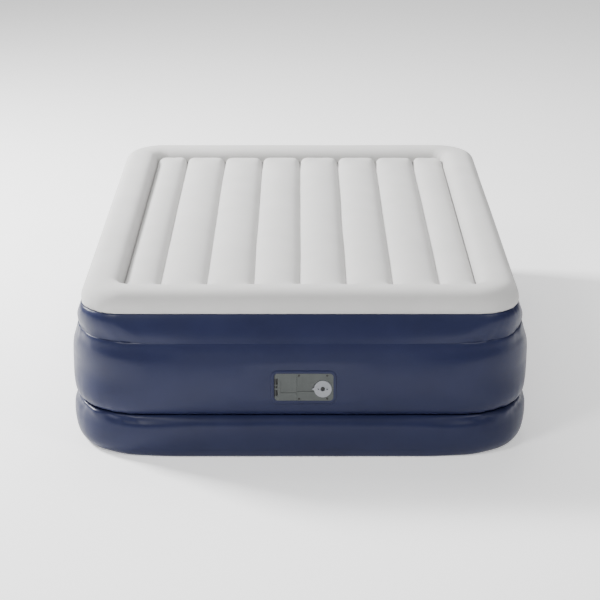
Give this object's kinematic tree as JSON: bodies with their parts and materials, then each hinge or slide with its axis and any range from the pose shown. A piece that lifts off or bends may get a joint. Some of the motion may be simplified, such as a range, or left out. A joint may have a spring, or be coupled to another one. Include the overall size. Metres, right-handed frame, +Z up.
{
  "type": "air mattress",
  "caption": "Raised flocked air mattress with lengthwise channels, a raised rim, creased side walls and a built-in electric pump with a dial valve.",
  "frame": {"origin": "on the floor under the centre of the mattress", "axes": "+X to the right seen from the pump's end, +Y towards the far end, +Z up; the pump's face looks along -Y"},
  "size_m": [1.5198, 2.0298, 0.5594],
  "materials": {
    "blue_film": "satin PVC film",
    "flocked_film": "short flocked pile",
    "web_film": "plain PVC film",
    "grey_casing": "fine matt texture",
    "light_plastic": "satin",
    "black_plastic": "satin",
    "black_rubber": "matt",
    "dark_screw": "blackened",
    "steel": "brushed",
    "ferrite": "dull ferrite and carbon",
    "copper_alloy": "plain",
    "wire_insulation": "satin"
  },
  "bodies": {
    "base": {"bottom_sheet": "blue_film", "bottom_seam": "blue_film", "lower_side_band": "blue_film", "lower_girth_seam": "blue_film", "middle_side_band": "blue_film", "upper_girth_seam": "blue_film", "upper_side_band": "blue_film", "girth_web": "web_film", "wall_tie_strip": "web_film", "perimeter_beam": "web_film", "upper_beam_1": "web_film", "upper_beam_2": "web_film", "upper_beam_3": "web_film", "upper_beam_4": "web_film", "upper_beam_5": "web_film", "upper_beam_6": "web_film", "upper_beam_7": "web_film", "lower_beam_1": "web_film", "lower_beam_2": "web_film", "lower_beam_3": "web_film"},
    "deck": {"top_seam": "flocked_film", "rim_tube": "flocked_film", "sleep_surface": "flocked_film", "channel_seams": "web_film"},
    "pump": {"pump_collar": "black_rubber", "pump_bezel": "grey_casing", "face_plate": "grey_casing", "panel_screws": "dark_screw", "hinge_knuckles": "black_plastic", "hinge_pin": "steel", "cord_tub": "grey_casing", "cord_gland": "black_rubber", "housing_front": "grey_casing", "housing_gasket": "black_rubber", "housing_rear": "grey_casing", "housing_screws": "steel", "valve_sleeve": "grey_casing", "valve_o_ring": "black_rubber", "micro_switch": "black_plastic", "lead_wires": "wire_insulation", "motor_can": "steel", "motor_end_cap": "black_plastic", "motor_magnets": "ferrite", "motor_bushes": "copper_alloy", "motor_brushes": "ferrite", "motor_bracket": "grey_casing", "volute": "grey_casing", "outlet_grille": "grey_casing", "flap_pin": "steel"},
    "dial": {"dial": "light_plastic", "dial_screw": "black_plastic", "valve_drum": "light_plastic"},
    "rotor": {"motor_shaft": "steel", "armature": "copper_alloy", "commutator": "copper_alloy", "impeller": "light_plastic"},
    "cord_door": {"cord_door": "grey_casing", "door_latch": "grey_casing"},
    "check_flap": {"check_flap": "black_rubber"}
  },
  "joints": [
    {"name": "deflate", "type": "slide", "parent": "base", "child": "deck", "axis": [0, 0, -1], "range_m": [0, 0.3], "stiffness_N_per_m": 3000, "springref_m": -0.05, "deforming": ["lower_side_band", "lower_girth_seam", "middle_side_band", "upper_girth_seam", "upper_side_band", "girth_web", "wall_tie_strip", "perimeter_beam", "upper_beam_1", "upper_beam_2", "upper_beam_3", "upper_beam_4", "upper_beam_5", "upper_beam_6", "upper_beam_7", "lower_beam_1", "lower_beam_2", "lower_beam_3"]},
    {"name": "pump_sink", "type": "slide", "parent": "base", "child": "pump", "axis": [0, 0, -1], "range_m": [0, 0.1351]},
    {"name": "dial_turn", "type": "hinge", "parent": "pump", "child": "dial", "pos_m": [0.0735, -1.012, 0.2455], "axis": [0, 1, 0], "range_deg": [-90, 90]},
    {"name": "rotor_spin", "type": "hinge", "parent": "pump", "child": "rotor", "pos_m": [0.049, -0.922, 0.2515], "axis": [0, 1, 0], "continuous": true},
    {"name": "cord_door_swing", "type": "hinge", "parent": "pump", "child": "cord_door", "pos_m": [-0.0785, -1.0064, 0.2515], "axis": [0, 0, -1], "range_deg": [0, 100]},
    {"name": "check_flap_swing", "type": "hinge", "parent": "pump", "child": "check_flap", "pos_m": [0.049, -0.8585, 0.2695], "axis": [1, 0, 0], "range_deg": [0, 25]}
  ],
  "couplings": [
    {"joint": "pump_sink", "follows": "deflate", "ratio": 0.45}
  ]
}
